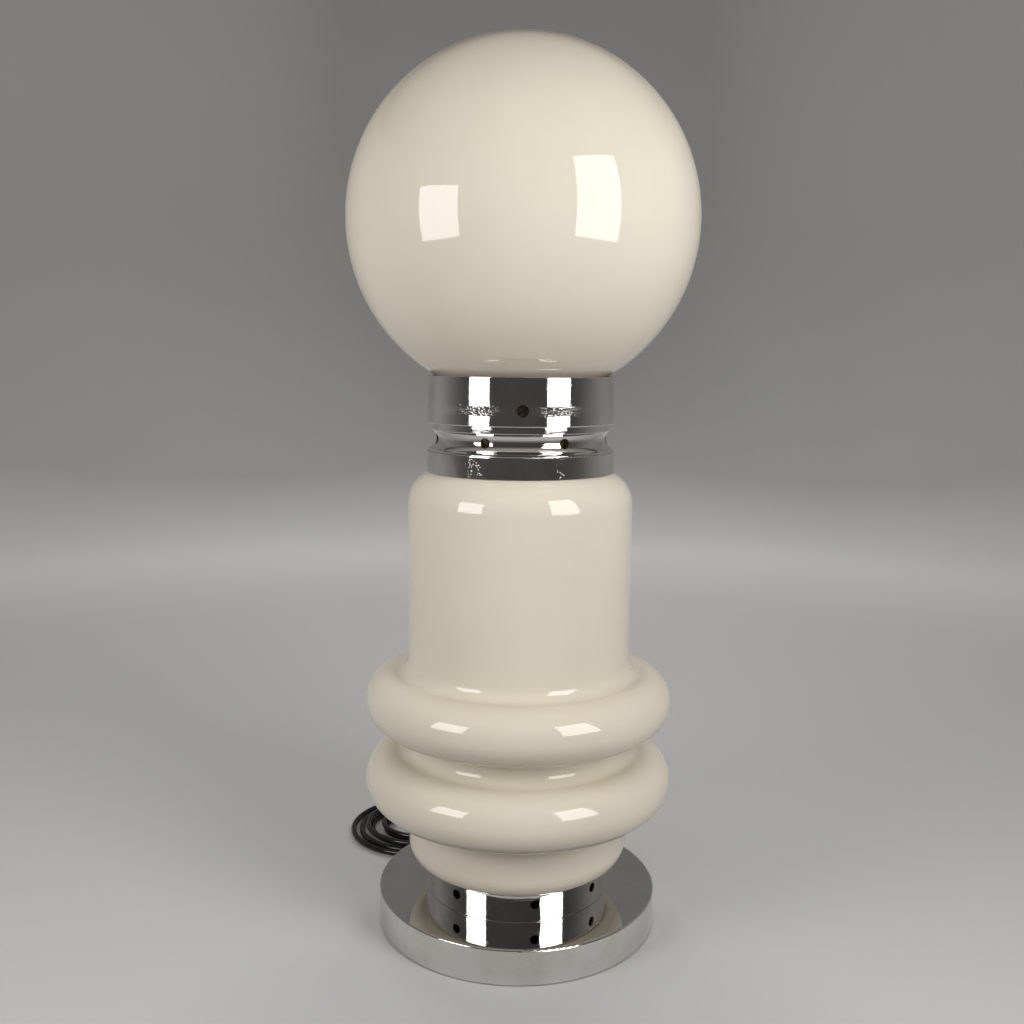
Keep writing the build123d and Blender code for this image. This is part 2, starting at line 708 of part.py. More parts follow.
def coil_radius(turns):
    """Radius of the coil after some turns: a smooth curve through the radii after each whole turn."""
    i = min(int(turns), len(COIL_RADII) - 2)
    here, there = COIL_RADII[i], COIL_RADII[i + 1]
    slope_here = (there - COIL_RADII[max(i - 1, 0)]) / 2
    slope_there = (COIL_RADII[min(i + 2, len(COIL_RADII) - 1)] - here) / 2
    u = turns - i
    start = here * (1 + 2 * u) + slope_here * u
    finish = there * (3 - 2 * u) - slope_there * (1 - u)
    return start * (1 - u) ** 2 + finish * u**2


def coil_point(turns):
    """Centre of the flex after some turns of the coil: it winds in, climbs on itself and winds out."""
    radius = coil_radius(turns)
    climb = min(max((turns - COIL_CLIMB_AT) / COIL_CLIMB + 0.5, 0), 1)
    angle = 2 * pi * turns + pi / 2
    z = CORD_R + COIL_LAYER * climb * climb * (3 - 2 * climb)
    return Vector(COIL_X + radius * cos(angle), COIL_Y + radius * sin(angle), z)


def coil_heading(turns):
    return (coil_point(turns + 0.001) - coil_point(turns - 0.001)).normalized()


def biarc_joint(start, heading, end, end_heading):
    """Point where two tangent arcs that span start to end meet, and the heading there."""
    span = end - start
    both = heading + end_heading
    square = 2 * (1 - heading.dot(end_heading))
    slope = span.dot(both)
    reach = (sqrt(slope**2 + square * span.dot(span)) - slope) / square
    first = start + heading * reach
    second = end - end_heading * reach
    return (first + second) / 2, (second - first).normalized()


quarters = [i / 4 for i in range(int(4 * COIL_TURNS) + 1)]
coil_in = coil_point(0) - coil_heading(0) * 2 * CORD_R
coil_out = coil_point(COIL_TURNS) + coil_heading(COIL_TURNS) * 2 * CORD_R

with BuildPart() as cord_coil:
    with BuildLine() as coil_route:
        Line(coil_in, coil_point(0))
        for begin, finish in zip(quarters, quarters[1:]):
            ends = (coil_point(begin), coil_heading(begin), coil_point(finish), coil_heading(finish))
            joint, joint_heading = biarc_joint(*ends)
            TangentArc(ends[0], joint, tangent=ends[1])
            TangentArc(joint, ends[2], tangent=joint_heading)
        Line(coil_point(COIL_TURNS), coil_out)
    with BuildSketch(Plane(origin=coil_in, z_dir=coil_heading(0))):
        Circle(CORD_R)
    sweep(path=coil_route.line)

switch_y = coil_in.Y
switch_right = SWITCH_X + SWITCH_L / 2
switch_left = SWITCH_X - SWITCH_L / 2
plug_heading = Vector(cos(radians(PLUG_HEADING)), sin(radians(PLUG_HEADING)), 0)
plug_entry = Vector(PLUG_X, PLUG_Y, PLUG_T / 2)


def free_cord(points):
    """Free stretch of the flex, with its bend radii, length and share of the ideal volume printed."""
    radii = bend_radii(points)
    cord, length = tube(points, radii, CORD_R)
    share = cord.part.volume / (pi * CORD_R**2 * length)
    print("bends", [round(r, 1) for r in radii], "length", round(length, 1), "volume", round(share, 4))
    return cord, length


gland_tip = gland.from_local_coords((0, 0, BASE_R + GLAND_L))
gland_run = gland.from_local_coords((0, 0, BASE_R + GLAND_L + GLAND_RUN))

lead_points = [
    tuple(gland_tip),
    tuple(gland_run),
    (83, 148, 3.4),
    (84, 174, CORD_R),
    (68, 196, 2.9),
    (switch_right + SWITCH_IN_RUN, switch_y, SWITCH_SPLIT_H),
    (switch_right, switch_y, SWITCH_SPLIT_H),
]
link_points = [
    (switch_left, switch_y, SWITCH_SPLIT_H),
    (switch_left - SWITCH_OUT_RUN, switch_y, SWITCH_SPLIT_H),
    (-60, 203.5, 4.2),
    tuple(coil_in - coil_heading(0) * COIL_IN_RUN),
    tuple(coil_in),
]
tail_points = [
    tuple(coil_out),
    tuple(coil_out + coil_heading(COIL_TURNS) * COIL_OUT_RUN),
    (-51, 103, 10.8),
    (-31, 111, 10.8),
    (-10, 117.5, 8.8),
    tuple(plug_entry - plug_heading * PLUG_RUN),
    tuple(plug_entry),
]

cord_lead, lead_length = free_cord(lead_points)
cord_link, link_length = free_cord(link_points)
cord_tail, tail_length = free_cord(tail_points)

# The coil's least gap to itself, and the whole flex
steps = [coil_point(i / 120) for i in range(int(120 * COIL_TURNS) + 1)]
apart = min(dist(tuple(a), tuple(b)) for i, a in enumerate(steps) for b in steps[i + 40 :])
coil_length = coil_route.wire().length
coil_share = cord_coil.part.volume / (pi * CORD_R**2 * coil_length)
whole = lead_length + SWITCH_L + link_length + coil_length + tail_length
print("coil gap", round(apart - 2 * CORD_R, 2), "volume", round(coil_share, 4))
print("flex length", round(whole, 1))

# Switch on the flex: two half shells and a rocker on its own trunnions
switch_base = Plane(origin=(SWITCH_X, switch_y, 0))
switch_top_z = SWITCH_SPLIT_H + SWITCH_TOP_H
pivot = Vector(SWITCH_X, switch_y, switch_top_z - ROCKER_DROP)
slot_half = (ROCKER_L / 2) * cos(radians(ROCKER_TILT)) + ROCKER_HIGH * sin(radians(ROCKER_TILT))

with BuildSketch() as switch_outline:
    Rectangle(SWITCH_L, SWITCH_END_W)
    Rectangle(SWITCH_MID_L, SWITCH_W)
    make_hull()
    fillet(switch_outline.vertices().sort_by(Axis.X)[2:6], SWITCH_CORNER)
    ends = switch_outline.vertices().sort_by(Axis.X)
    fillet(ends[:2] + ends[-2:], SWITCH_END_CORNER)

with BuildPart() as switch_lower:
    with BuildSketch(switch_base):
        add(switch_outline.sketch_local)
    extrude(amount=SWITCH_SPLIT_H)
    fillet(switch_lower.edges().group_by(Axis.Z)[0], SWITCH_FOOT_R)
    with BuildSketch(switch_base.offset(SWITCH_T)):
        offset(switch_outline.sketch_local, amount=-SWITCH_T)
    extrude(amount=SWITCH_SPLIT_H, mode=Mode.SUBTRACT)

with BuildPart() as switch_upper:
    with BuildSketch(switch_base.offset(SWITCH_SPLIT_H)):
        add(switch_outline.sketch_local)
    extrude(amount=SWITCH_TOP_H)
    fillet(switch_upper.edges().group_by(Axis.Z)[-1], SWITCH_EDGE_R)
    with BuildSketch(switch_base.offset(SWITCH_SPLIT_H)):
        offset(switch_outline.sketch_local, amount=-SWITCH_T)
    extrude(amount=SWITCH_TOP_H - SWITCH_T, mode=Mode.SUBTRACT)
    with BuildSketch(switch_base.offset(switch_top_z - SWITCH_T)):
        Rectangle(2 * (slot_half + RUN), ROCKER_W + 2 * ROCKER_PLAY)
    extrude(amount=SWITCH_T, mode=Mode.SUBTRACT)
    with BuildSketch(switch_base.offset(switch_top_z - SWITCH_T)):
        with GridLocations(0, ROCKER_W + 2 * ROCKER_PLAY + CHEEK_T, 1, 2):
            Rectangle(CHEEK_W, CHEEK_T)
    extrude(amount=-CHEEK_H)
    with BuildSketch(Plane(origin=pivot, x_dir=(1, 0, 0), z_dir=(0, -1, 0))):
        Circle(ROCKER_PIN_R + RUN)
    extrude(amount=ROCKER_W / 2 + ROCKER_PLAY + CHEEK_T, both=True, mode=Mode.SUBTRACT)

with BuildPart() as switch_rocker:
    tilt = radians(ROCKER_TILT)
    across = Plane(origin=pivot, x_dir=(cos(tilt), 0, sin(tilt)), z_dir=(0, -1, 0))
    with BuildSketch(across):
        with BuildLine():
            Polyline(
                (-ROCKER_L / 2, ROCKER_HIGH),
                (0, ROCKER_HIGH - ROCKER_DIP),
                (ROCKER_L / 2, ROCKER_HIGH),
                (ROCKER_L / 2 - ROCKER_DIP, -ROCKER_LOW),
                (ROCKER_DIP - ROCKER_L / 2, -ROCKER_LOW),
                close=True,
            )
        make_face()
    extrude(amount=ROCKER_W / 2, both=True)
    with BuildSketch(across):
        Circle(ROCKER_PIN_R)
    extrude(amount=ROCKER_W / 2 + ROCKER_PIN_L, both=True)

# Plug: a flat two-pin body with the flex in its narrow end
plug_base = Plane(origin=(PLUG_X, PLUG_Y, 0), x_dir=plug_heading, z_dir=(0, 0, 1))

with BuildPart() as plug_body:
    with BuildSketch(plug_base):
        Rectangle(PLUG_HEAD_L, PLUG_TAIL_W, align=(Align.MIN, Align.CENTER))
        with Locations((PLUG_L - PLUG_HEAD_L, 0)):
            Rectangle(PLUG_HEAD_L, PLUG_W, align=(Align.MIN, Align.CENTER))
        make_hull()
    extrude(amount=PLUG_T)
    fillet(plug_body.edges().filter_by(Axis.Z), PLUG_EDGE_R)
    fillet(plug_body.faces().sort_by(Axis.Z)[-1].edges(), PLUG_EDGE_R)

with BuildPart() as plug_pins:
    face = Plane(origin=plug_entry + plug_heading * PLUG_L, x_dir=(0, 0, 1), z_dir=plug_heading)
    with BuildSketch(face):
        with GridLocations(0, PIN_PITCH, 1, 2):
            Circle(PIN_R)
    extrude(amount=PIN_L)
    tips = plug_pins.faces().filter_by(GeomType.PLANE).sort_by(Axis((0, 0, 0), plug_heading))[-2:]
    fillet(tips.edges(), PIN_R / 2)

save(base_felt, "base_felt")
save(bottom_plate, "bottom_plate")
save(bottom_screws, "bottom_screws")
save(base_weight, "base_weight")
save(base_cover, "base_cover")
save(foot_cup, "foot_cup")
save(body_seal_lower, "body_seal_lower")
save(body_glass, "body_glass")
save(body_seal_upper, "body_seal_upper")
save(body_cap, "body_cap")
save(waist_ring, "waist_ring")
save(globe_cup, "globe_cup")
save(globe_screws, "globe_screws")
save(globe_seal, "globe_seal")
save(globe_glass, "globe_glass")
save(tie_rod, "tie_rod")
save(rod_washers, "rod_washers")
save(rod_nuts, "rod_nuts")
save(globe_lampholder, "globe_lampholder")
save(lamp_bracket, "lamp_bracket")
save(candle_nuts, "candle_nuts")
save(supply_wires, "supply_wires")
save(candle_wires, "candle_wires")
save(strain_relief, "strain_relief")
save(cord_lead, "cord_lead")
save(cord_link, "cord_link")
save(cord_coil, "cord_coil")
save(cord_tail, "cord_tail")
save(switch_lower, "switch_lower")
save(switch_upper, "switch_upper")
save(switch_rocker, "switch_rocker")
save(plug_body, "plug_body")
save(plug_pins, "plug_pins")
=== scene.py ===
from math import cos, pi, radians, sin

import bpy
from mathutils import Matrix, Vector


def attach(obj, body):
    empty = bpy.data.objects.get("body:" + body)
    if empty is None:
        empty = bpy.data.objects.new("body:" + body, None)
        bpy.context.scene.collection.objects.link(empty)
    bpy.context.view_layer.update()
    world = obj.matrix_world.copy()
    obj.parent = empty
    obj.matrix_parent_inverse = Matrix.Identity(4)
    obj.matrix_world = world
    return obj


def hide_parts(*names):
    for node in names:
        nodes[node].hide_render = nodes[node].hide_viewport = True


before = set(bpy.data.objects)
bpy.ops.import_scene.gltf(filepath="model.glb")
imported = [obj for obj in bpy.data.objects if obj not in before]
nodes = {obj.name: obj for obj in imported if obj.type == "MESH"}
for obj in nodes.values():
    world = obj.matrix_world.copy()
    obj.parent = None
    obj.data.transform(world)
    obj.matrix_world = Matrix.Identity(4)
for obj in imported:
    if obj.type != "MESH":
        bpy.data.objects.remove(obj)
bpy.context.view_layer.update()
MM = 0.001


# Shader helpers
class Nodes:
    """A node tree, and short calls for the nodes in it."""

    def __init__(self, tree, coordinate):
        self.tree = tree
        self.place = tree.nodes.new("ShaderNodeTexCoord").outputs[coordinate]

    def feed(self, node, socket, value):
        """Links a socket to another node's output, or sets its value."""
        target = node.inputs[socket]
        if isinstance(value, bpy.types.NodeSocket):
            self.tree.links.new(value, target)
        elif isinstance(value, tuple) and len(value) == 3 and target.type == "RGBA":
            target.default_value = (*value, 1.0)
        else:
            target.default_value = value

    def node(self, kind, out, settings=None, **sockets):
        """New node's output. A socket is given by name, or by number as _0, _1 where names repeat."""
        node = self.tree.nodes.new("ShaderNode" + kind)
        for key, value in (settings or {}).items():
            setattr(node, key, value)
        for socket, value in sockets.items():
            key = int(socket[1:]) if socket[0] == "_" else socket.replace("_", " ")
            self.feed(node, key, value)
        return node.outputs[out]

    def stretch(self, x, y, z):
        return self.node("Mapping", "Vector", Vector=self.place, Scale=(x, y, z))

    def noise(self, scale, detail=2.0, rough=0.5, vector=None):
        place = vector or self.place
        return self.node("TexNoise", "Fac", Vector=place, Scale=scale, Detail=detail, Roughness=rough)

    def cells(self, scale):
        return self.node("TexVoronoi", "Distance", Vector=self.place, Scale=scale)

    def span(self, value, low, high, to_low=0.0, to_high=1.0):
        return self.node(
            "MapRange",
            "Result",
            {"interpolation_type": "SMOOTHSTEP"},
            Value=value,
            From_Min=low,
            From_Max=high,
            To_Min=to_low,
            To_Max=to_high,
        )

    def mix(self, factor, a, b):
        return self.node("Mix", 2, {"data_type": "RGBA"}, _0=factor, _6=a, _7=b)

    def math(self, operation, a, b=0.0):
        return self.node("Math", "Value", {"operation": operation}, _0=a, _1=b)

    def vector_math(self, operation, out, **sockets):
        return self.node("VectorMath", out, {"operation": operation}, **sockets)

    def bump(self, height, strength, distance, under=None):
        extra = {"Normal": under} if under else {}
        return self.node("Bump", "Normal", Height=height, Strength=strength, Distance=distance, **extra)

    def along(self, axis):
        """The place's x, y or z, as axis 0, 1 or 2."""
        return self.node("SeparateXYZ", axis, Vector=self.place)

    def from_level(self, level):
        """How far above or below a level the place is."""
        return self.math("ABSOLUTE", self.math("SUBTRACT", self.along(2), level))

    def from_axis(self):
        """The level vector from the upright axis to the place."""
        return self.vector_math("MULTIPLY", "Vector", _0=self.place, _1=(1, 1, 0))

    def facing_out(self):
        """How squarely the surface faces away from the axis: 1 outside, 0 in a cross hole, -1 inside."""
        spoke = self.vector_math("NORMALIZE", "Vector", _0=self.from_axis())
        return self.vector_math("DOT_PRODUCT", "Value", _0=spoke, _1=self.node("TexCoord", "Normal"))


class Shader(Nodes):
    """A material with one Principled shader."""

    def __init__(self, name, **sockets):
        self.material = bpy.data.materials.new(name)
        self.material.use_nodes = True
        tree = self.material.node_tree
        tree.nodes.clear()
        super().__init__(tree, "Object")
        self.surface = tree.nodes.new("ShaderNodeBsdfPrincipled")
        output = tree.nodes.new("ShaderNodeOutputMaterial")
        tree.links.new(self.surface.outputs["BSDF"], output.inputs["Surface"])
        self.set(**sockets)

    def set(self, **sockets):
        for socket, value in sockets.items():
            self.feed(self.surface, socket.replace("_", " "), value)


# Materials
def opal_glass():
    """Glossy cream glass, faintly clouded and drawn, with seeds, smudges and a slow wave."""
    look = Shader("opal_glass", IOR=1.5)
    cloud = look.noise(7.0, 3.0)
    drawn = look.noise(1.0, 3.0, 0.6, look.stretch(30, 30, 4))
    tone = look.mix(look.span(cloud, 0.3, 0.7), (0.69, 0.638, 0.525), (0.73, 0.68, 0.57))
    tone = look.mix(look.span(drawn, 0.35, 0.75, 0.0, 0.18), tone, (0.76, 0.715, 0.61))
    seeds = look.span(look.cells(140.0), 0.0, 0.035, 0.2, 0.0)
    tone = look.mix(seeds, tone, (0.54, 0.46, 0.34))
    smudge = look.noise(26.0, 4.0, 0.6)
    look.set(Base_Color=tone, Roughness=look.span(smudge, 0.35, 0.8, 0.03, 0.10))
    wave = look.bump(look.noise(9.0, 1.0), 0.12, 0.004)
    look.set(Normal=look.bump(look.noise(420.0, 2.0), 0.012, 0.0004, wave))
    return look.material


# Rows of cross holes in the chromed pieces, in millimetres: height of the row, radius of the holes
FOOT_VENTS = (39.6, 3.5)
WAIST_VENTS = (366.0, 3.6)
CUP_SCREWS = (388.3, 4.2)
HOLE_EDGE = 0.3
# Pitted swell round the cup's screws, in millimetres: half its height, and where its ragged pits fade out
SWELL = 4.4
PITS_FADE = (3.6, 5.2)
PITS_RAGGED = 2.0


def pitting(look, swell_at):
    """Fine pits in corroded patches, and in a band round the swell."""
    uneven = look.span(look.noise(1900.0, 2.0), 0.3, 0.7, -0.16, 0.16)
    grit = look.math("ADD", look.cells(780.0), uneven)
    corroded = look.span(look.noise(46.0, 4.0, 0.65), 0.56, 0.70)
    if swell_at:
        ragged = look.span(look.noise(210.0, 3.0), 0.3, 0.7, 0.0, PITS_RAGGED * MM)
        off = look.math("ADD", look.from_level(swell_at * MM), ragged)
        near, far = PITS_FADE
        corroded = look.math("MAXIMUM", corroded, look.span(off, near * MM, far * MM, 1.0, 0.0))
    return look.math("MULTIPLY", look.span(grit, 0.14, 0.36, 1.0, 0.0), corroded)


def unplated(look, holes):
    """1 inside the piece and in its cross holes, where the brass is bare, and 0 outside."""
    facing = look.facing_out()
    bare = look.span(facing, -0.7, -0.3, 1.0, 0.0)
    across = look.span(facing, 0.5, 0.75, 1.0, 0.0)
    for height, radius in holes:
        level = look.from_level(height * MM)
        beside = look.span(level, radius * MM, (radius + HOLE_EDGE) * MM, 1.0, 0.0)
        bare = look.math("MAXIMUM", bare, look.math("MULTIPLY", beside, across))
    return bare


def chrome(name, holes=(), swell_at=None):
    """Polished plating with worn patches, specks, hairlines and pits, over brass.

    The holes are rows as above, and swell_at is the height of a pitted swell.
    """
    look = Shader(name, Metallic=1.0)
    worn = look.noise(38.0, 5.0, 0.62)
    hair = look.span(look.noise(1.0, 2.0, 0.6, look.stretch(60, 60, 2600)), 0.60, 0.74)
    pits = pitting(look, swell_at)
    bare = unplated(look, holes)

    plating = look.mix(look.span(worn, 0.42, 0.72), (0.74, 0.73, 0.715), (0.66, 0.64, 0.615))
    dots = look.span(look.cells(260.0), 0.03, 0.07, 0.8, 0.0)
    specks = look.math("MULTIPLY", dots, look.span(worn, 0.5, 0.6))
    plating = look.mix(specks, plating, (0.16, 0.11, 0.07))
    brass = look.mix(look.span(worn, 0.35, 0.7), (0.62, 0.43, 0.20), (0.44, 0.28, 0.13))
    look.set(Base_Color=look.mix(bare, plating, brass))

    rough = look.span(look.noise(90.0, 4.0, 0.65), 0.35, 0.8, 0.025, 0.065)
    for where, rougher in ((hair, 0.04), (pits, 0.03), (bare, 0.38)):
        rough = look.math("ADD", rough, look.math("MULTIPLY", where, rougher))
    look.set(Roughness=rough)

    relief = look.bump(hair, 0.03, 0.0002)
    if swell_at:
        swell = look.span(look.along(2), (swell_at - SWELL) * MM, (swell_at + SWELL) * MM)
        relief = look.bump(swell, 1.0, 0.0003, relief)
    relief = look.bump(look.math("MULTIPLY", pits, -1.0), 0.22, 0.0001, relief)
    look.set(Normal=look.bump(look.noise(16.0, 1.0), 0.02, 0.002, relief))
    return look.material


def plain_metal(name, light, dark, rough):
    """Satin metal with a tone that wanders and a fine grain."""
    look = Shader(name, Metallic=1.0)
    worn = look.noise(90.0, 4.0, 0.6)
    grain = look.noise(1.0, 2.0, 0.5, look.stretch(900, 900, 120))
    look.set(Base_Color=look.mix(look.span(worn, 0.35, 0.7), light, dark))
    look.set(Roughness=look.span(grain, 0.3, 0.7, rough - 0.06, rough + 0.1))
    look.set(Normal=look.bump(grain, 0.06, 0.0003))
    return look.material


def moulded(name, light, dark, rough, grain_scale=900.0, grain=0.1):
    """Plastic, rubber or glaze with a mottled tone and a fine surface grain."""
    look = Shader(name)
    worn = look.noise(120.0, 3.0, 0.6)
    look.set(Base_Color=look.mix(look.span(worn, 0.35, 0.7), light, dark))
    look.set(Roughness=look.span(look.noise(260.0, 3.0), 0.3, 0.75, rough - 0.05, rough + 0.12))
    look.set(Normal=look.bump(look.noise(grain_scale, 2.0), grain, 0.0003))
    return look.material


def black_felt():
    """Matt felt with short fibres and a faint sheen."""
    look = Shader("felt", Roughness=0.95, Sheen_Weight=0.4, Sheen_Roughness=0.6)
    fibres = look.noise(1400.0, 4.0, 0.7)
    look.set(Base_Color=look.mix(look.span(fibres, 0.3, 0.7), (0.012, 0.012, 0.013), (0.05, 0.05, 0.052)))
    look.set(Normal=look.bump(fibres, 0.7, 0.0008))
    return look.material


OPAL = opal_glass()
CHROME = chrome("chromed_metal", [FOOT_VENTS, WAIST_VENTS, CUP_SCREWS], CUP_SCREWS[0])
CHROME_BASE = chrome("chromed_base")
DARK_STEEL = plain_metal("dark_steel", (0.05, 0.045, 0.04), (0.10, 0.075, 0.055), 0.38)
ZINC = plain_metal("plated_steel", (0.62, 0.56, 0.42), (0.50, 0.46, 0.38), 0.3)
IRON = plain_metal("cast_iron", (0.10, 0.10, 0.105), (0.16, 0.15, 0.145), 0.6)
LAMP_CAP = plain_metal("lamp_cap_metal", (0.70, 0.69, 0.66), (0.58, 0.57, 0.55), 0.28)
PIN = plain_metal("pin_metal", (0.72, 0.70, 0.64), (0.62, 0.59, 0.50), 0.2)
SEAL = moulded("clear_rubber", (0.66, 0.63, 0.55), (0.56, 0.52, 0.43), 0.5)
PORCELAIN = moulded("porcelain", (0.84, 0.82, 0.77), (0.78, 0.75, 0.68), 0.12, 60.0, 0.05)
FROSTED = moulded("lamp_glass", (0.86, 0.85, 0.82), (0.80, 0.79, 0.76), 0.3, 1600.0, 0.08)
WIRE = moulded("wire_insulation", (0.50, 0.47, 0.41), (0.42, 0.39, 0.34), 0.4)
FLEX = moulded("flex_sheath", (0.003, 0.003, 0.0034), (0.008, 0.0076, 0.0076), 0.19, 500.0, 0.015)
RUBBER = moulded("black_rubber", (0.012, 0.012, 0.012), (0.026, 0.025, 0.024), 0.55, 800.0, 0.16)
PLASTIC = moulded("black_plastic", (0.011, 0.011, 0.012), (0.024, 0.023, 0.023), 0.3, 1500.0, 0.14)
FELT = black_felt()

finish_of = {
    CHROME: ["globe_cup", "waist_ring", "body_cap", "foot_cup"],
    CHROME_BASE: ["base_cover"],
    OPAL: ["globe_glass", "body_glass"],
    DARK_STEEL: ["globe_screws", "bottom_screws"],
    FELT: ["base_felt"],
    ZINC: ["bottom_plate", "lamp_bracket", "tie_rod", "rod_nuts", "rod_washers", "candle_nuts"],
    IRON: ["base_weight"],
    SEAL: ["body_seal_lower", "body_seal_upper", "globe_seal"],
    PORCELAIN: ["globe_lampholder", "candle_holder_left", "candle_holder_right"],
    LAMP_CAP: ["globe_lamp_cap", "candle_cap_left", "candle_cap_right"],
    FROSTED: ["globe_lamp_glass", "candle_glass_left", "candle_glass_right"],
    WIRE: ["supply_wires", "candle_wires"],
    RUBBER: ["strain_relief"],
    PLASTIC: ["switch_lower", "switch_upper", "switch_rocker", "plug_body"],
    PIN: ["plug_pins"],
    FLEX: ["cord_lead", "cord_link", "cord_coil", "cord_tail"],
}
for material, names in finish_of.items():
    for name in names:
        nodes[name].data.materials.clear()
        nodes[name].data.materials.append(material)


# Flex: the route of the free stretches and the coil, in millimetres
CORD_R = 2.4
SWITCH_Y = 203.045
COIL_CENTRE = (-90.0, 143.0)
COIL_RADII = (60.0, 53.0, 45.0, 31.0, 28.0, 41.0, 53.0)
COIL_TURNS = 5.5
COIL_LAYER = 2 * CORD_R + 0.5
COIL_CLIMB_AT = 3.6
COIL_CLIMB = 0.5
POINTS_PER_TURN = 16


def coil_radius(turns):
    """Smooth curve through the coil's radii after each whole turn."""
    i = min(int(turns), len(COIL_RADII) - 2)
    here, there = COIL_RADII[i], COIL_RADII[i + 1]
    slope_here = (there - COIL_RADII[max(i - 1, 0)]) / 2
    slope_there = (COIL_RADII[min(i + 2, len(COIL_RADII) - 1)] - here) / 2
    u = turns - i
    start = here * (1 + 2 * u) + slope_here * u
    finish = there * (3 - 2 * u) - slope_there * (1 - u)
    return start * (1 - u) ** 2 + finish * u**2


def coil_point(turns):
    """Point of the coil, which climbs on to its second layer over part of a turn."""
    radius = coil_radius(turns)
    climb = min(max((turns - COIL_CLIMB_AT) / COIL_CLIMB + 0.5, 0), 1)
    angle = 2 * pi * turns + pi / 2
    z = CORD_R + COIL_LAYER * climb * climb * (3 - 2 * climb)
    return (COIL_CENTRE[0] + radius * cos(angle), COIL_CENTRE[1] + radius * sin(angle), z)


lead = [(64.5, 111.72, 8.8), (72.5, 125.57, 8.8), (83, 148, 3.4), (84, 174, CORD_R), (68, 196, 2.9)]
lead += [(46, SWITCH_Y, 8), (31, SWITCH_Y, 8)]
inside_switch = [(20, SWITCH_Y, 6.6), (8, SWITCH_Y, 4.7), (-8, SWITCH_Y, 4.7), (-20, SWITCH_Y, 6.6)]
link = [(-31, SWITCH_Y, 8), (-43, SWITCH_Y, 8), (-60, 203.5, 4.2), (-74.2, 203.15, CORD_R)]
coil = [coil_point(i / POINTS_PER_TURN) for i in range(int(COIL_TURNS * POINTS_PER_TURN) + 1)]
tail = [(-70.2, 94.31, 7.7), (-51, 103, 10.8), (-31, 111, 10.8), (-10, 117.5, 8.8)]
tail += [(7.57, 126.82, 7), (16, 138, 7)]


def spline(name, points, radius, material):
    """Round smooth line with the points, in millimetres, as its control points."""
    curve = bpy.data.curves.new(name, "CURVE")
    curve.dimensions = "3D"
    line = curve.splines.new("NURBS")
    line.points.add(len(points) - 1)
    for point, place in zip(line.points, points):
        point.co = (*(v * MM for v in place), 1.0)
    line.order_u = 3
    line.use_endpoint_u = True
    line.resolution_u = 8
    curve.bevel_depth = radius * MM
    curve.bevel_resolution = 6
    curve.use_fill_caps = True
    curve.materials.append(material)
    piece = bpy.data.objects.new(name, curve)
    bpy.context.scene.collection.objects.link(piece)
    return piece


flex = spline("flex", lead + inside_switch + link + coil + tail, CORD_R, FLEX)
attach(flex, "lamp")
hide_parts("cord_lead", "cord_link", "cord_coil", "cord_tail")


# Stage, in metres: a round pale floor that curves up into a low wall on all sides, darker to the front with
# painted shade
FLOOR_R = 1.8
COVE_R = 0.8
WALL_TOP = 2.0
FLOOR_RINGS = 6
COVE_RINGS = 12
STAGE_SIDES = 96


def paper():
    """Plain paper, paler behind the lamp and darker in front, where the dark tone is painted shade. The
    light that it scatters on to the lamp is kept low.
    """
    look = Shader("floor_paper", Roughness=0.75)
    path = look.tree.nodes.new("ShaderNodeLightPath").outputs
    seen = look.math("MAXIMUM", path["Is Camera Ray"], path["Is Glossy Ray"])
    seen = look.math("MAXIMUM", seen, path["Is Transmission Ray"])
    behind = look.span(look.along(1), -1.2, 1.4)
    ground = look.mix(behind, (0.52, 0.52, 0.523), (0.56, 0.56, 0.563))
    # The wall's dark front tone is painted shade, standing in for an unlit room.
    wall = look.mix(behind, (0.19, 0.19, 0.191), (0.78, 0.78, 0.785))
    away = look.vector_math("LENGTH", "Value", _0=look.from_axis())
    # Away from the lamp the floor takes the wall's tone: painted shade in front, paler behind.
    tone = look.mix(look.span(away, 1.0, 1.9), ground, wall)
    tone = look.mix(look.span(look.noise(3.0, 3.0), 0.3, 0.7, 0.0, 0.05), tone, (0.45, 0.45, 0.45))
    look.set(Base_Color=look.mix(seen, (0.22, 0.22, 0.22), tone))
    return look.material


def round_stage():
    """The floor and wall, turned from one profile."""
    profile = [(FLOOR_R * i / FLOOR_RINGS, 0.0) for i in range(1, FLOOR_RINGS + 1)]
    for i in range(1, COVE_RINGS + 1):
        angle = pi / 2 * i / COVE_RINGS
        profile.append((FLOOR_R + COVE_R * sin(angle), COVE_R * (1 - cos(angle))))
    profile.append((FLOOR_R + COVE_R, WALL_TOP))
    angles = [2 * pi * i / STAGE_SIDES for i in range(STAGE_SIDES)]
    verts = [(0.0, 0.0, 0.0)]
    for r, z in profile:
        verts += [(r * cos(angle), r * sin(angle), z) for angle in angles]
    sides = [(1 + i, 1 + (i + 1) % STAGE_SIDES) for i in range(STAGE_SIDES)]
    faces = [(0, a, b) for a, b in sides]
    for row in range(len(profile) - 1):
        low, high = row * STAGE_SIDES, (row + 1) * STAGE_SIDES
        faces += [(low + a, high + a, high + b, low + b) for a, b in sides]
    mesh = bpy.data.meshes.new("floor")
    mesh.from_pydata(verts, [], faces)
    for face in mesh.polygons:
        face.use_smooth = True
    mesh.materials.append(paper())
    floor = bpy.data.objects.new("floor", mesh)
    bpy.context.scene.collection.objects.link(floor)


round_stage()

# Light, in metres: a soft box each side of the camera, fill panels that no surface mirrors, a dim warm room
BOX_AWAY = 0.78
FILL_AWAY = 2.2


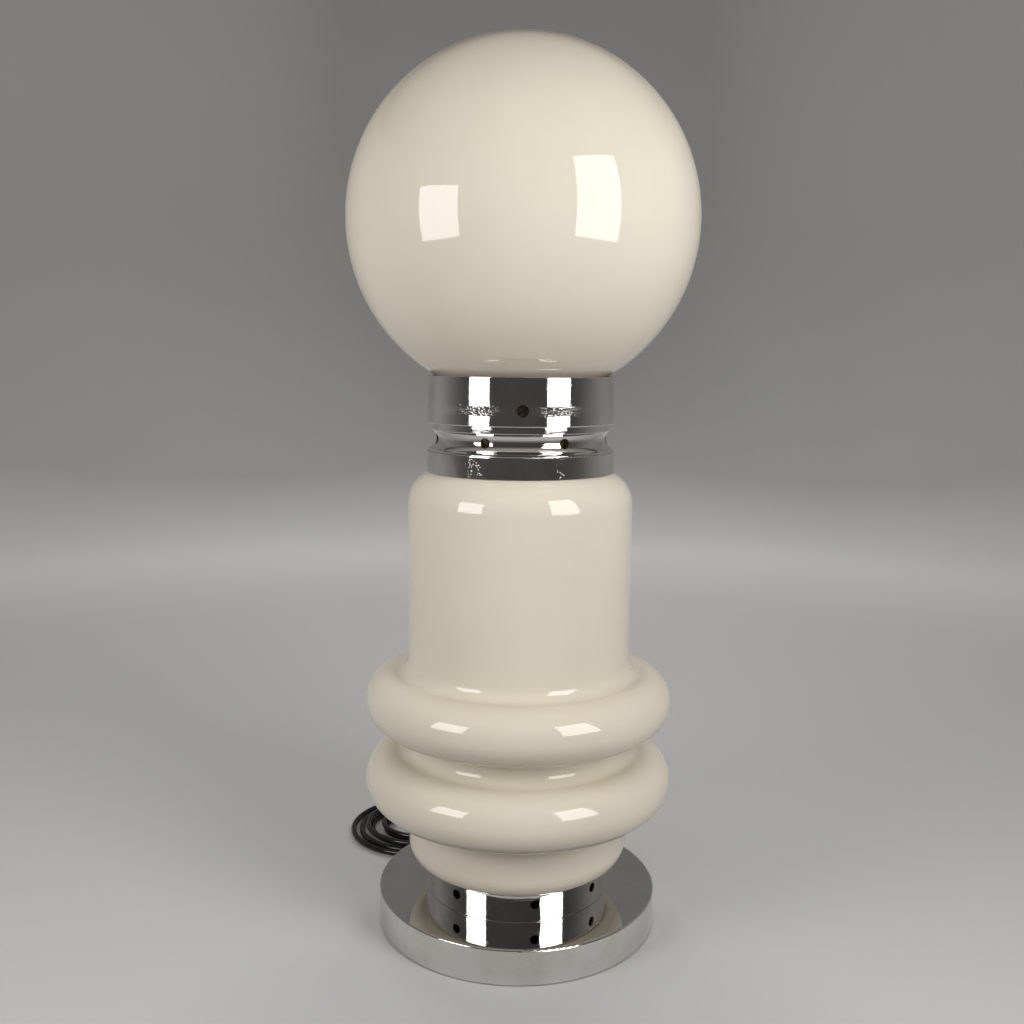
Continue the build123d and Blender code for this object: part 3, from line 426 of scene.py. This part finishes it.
def panel(name, azimuth, away, low, high, width, power, mirrored=True):
    """Upright light at an angle from the front and a distance from the lamp's axis, which it faces."""
    light = bpy.data.lights.new(name, "AREA")
    light.shape = "RECTANGLE"
    light.size = width
    light.size_y = high - low
    light.energy = power
    light.color = (1.0, 0.99, 0.975)
    box = bpy.data.objects.new(name, light)
    out = Vector((sin(radians(azimuth)), -cos(radians(azimuth)), 0))
    box.location = out * away + Vector((0, 0, (low + high) / 2))
    box.rotation_euler = out.to_track_quat("Z", "Y").to_euler()
    box.visible_camera = False
    box.visible_glossy = mirrored
    bpy.context.scene.collection.objects.link(box)


panel("box_left", -49.0, BOX_AWAY, low=0.333, high=0.70, width=0.338, power=2.75)
panel("box_right", 43.7, BOX_AWAY, low=0.33, high=0.95, width=0.376, power=5.2)
panel("fill_left", -72.0, FILL_AWAY, low=0.25, high=1.05, width=1.0, power=8.0, mirrored=False)
panel("fill_right", 43.0, FILL_AWAY, low=0.40, high=1.40, width=1.0, power=6.0, mirrored=False)
for name, azimuth in (("fill_back_left", -160.0), ("fill_back_right", 160.0)):
    panel(name, azimuth, FILL_AWAY, low=1.00, high=1.90, width=1.2, power=17.0, mirrored=False)


def dim_room():
    """Warm room with a pale ceiling, greyer sides, and little light from elsewhere."""
    world = bpy.data.worlds.new("room")
    world.use_nodes = True
    room = Nodes(world.node_tree, "Generated")
    ceiling = room.span(room.along(2), 0.45, 0.85, 0.0, 0.30)
    sides = room.span(room.math("ABSOLUTE", room.along(0)), 0.85, 0.98, 0.0, 0.08)
    level = room.math("ADD", room.math("ADD", ceiling, sides), 0.03)
    glow = room.vector_math("SCALE", "Vector", _0=(1.0, 0.92, 0.85), Scale=level)
    room.feed(world.node_tree.nodes["Background"], "Color", glow)
    bpy.context.scene.world = world


dim_room()

# Camera at the photograph's place: its focal length in pixels, where it stands and its three axes
SENSOR = 36.0
IMAGE_PX = 1024
FOCAL_PX = 1072.2
CAMERA_PLACE = Vector((0.0, -0.7824, 0.4203))
RIGHT = Vector((0.99992026, 0.00881862, 0.00903896))
DOWN = Vector((0.01016853, -0.13783389, -0.99040316))
AHEAD = Vector((-0.00748812, 0.9904161, -0.13791257))

camera_data = bpy.data.cameras.new("camera")
camera_data.sensor_width = SENSOR
camera_data.lens = SENSOR * FOCAL_PX / IMAGE_PX
camera_data.clip_start = 0.01
camera = bpy.data.objects.new("camera", camera_data)
turned = Matrix((RIGHT, -DOWN, -AHEAD)).transposed()
camera.matrix_world = Matrix.Translation(CAMERA_PLACE) @ turned.to_4x4()
bpy.context.scene.collection.objects.link(camera)
bpy.context.scene.camera = camera
bpy.context.scene.view_settings.view_transform = "Standard"
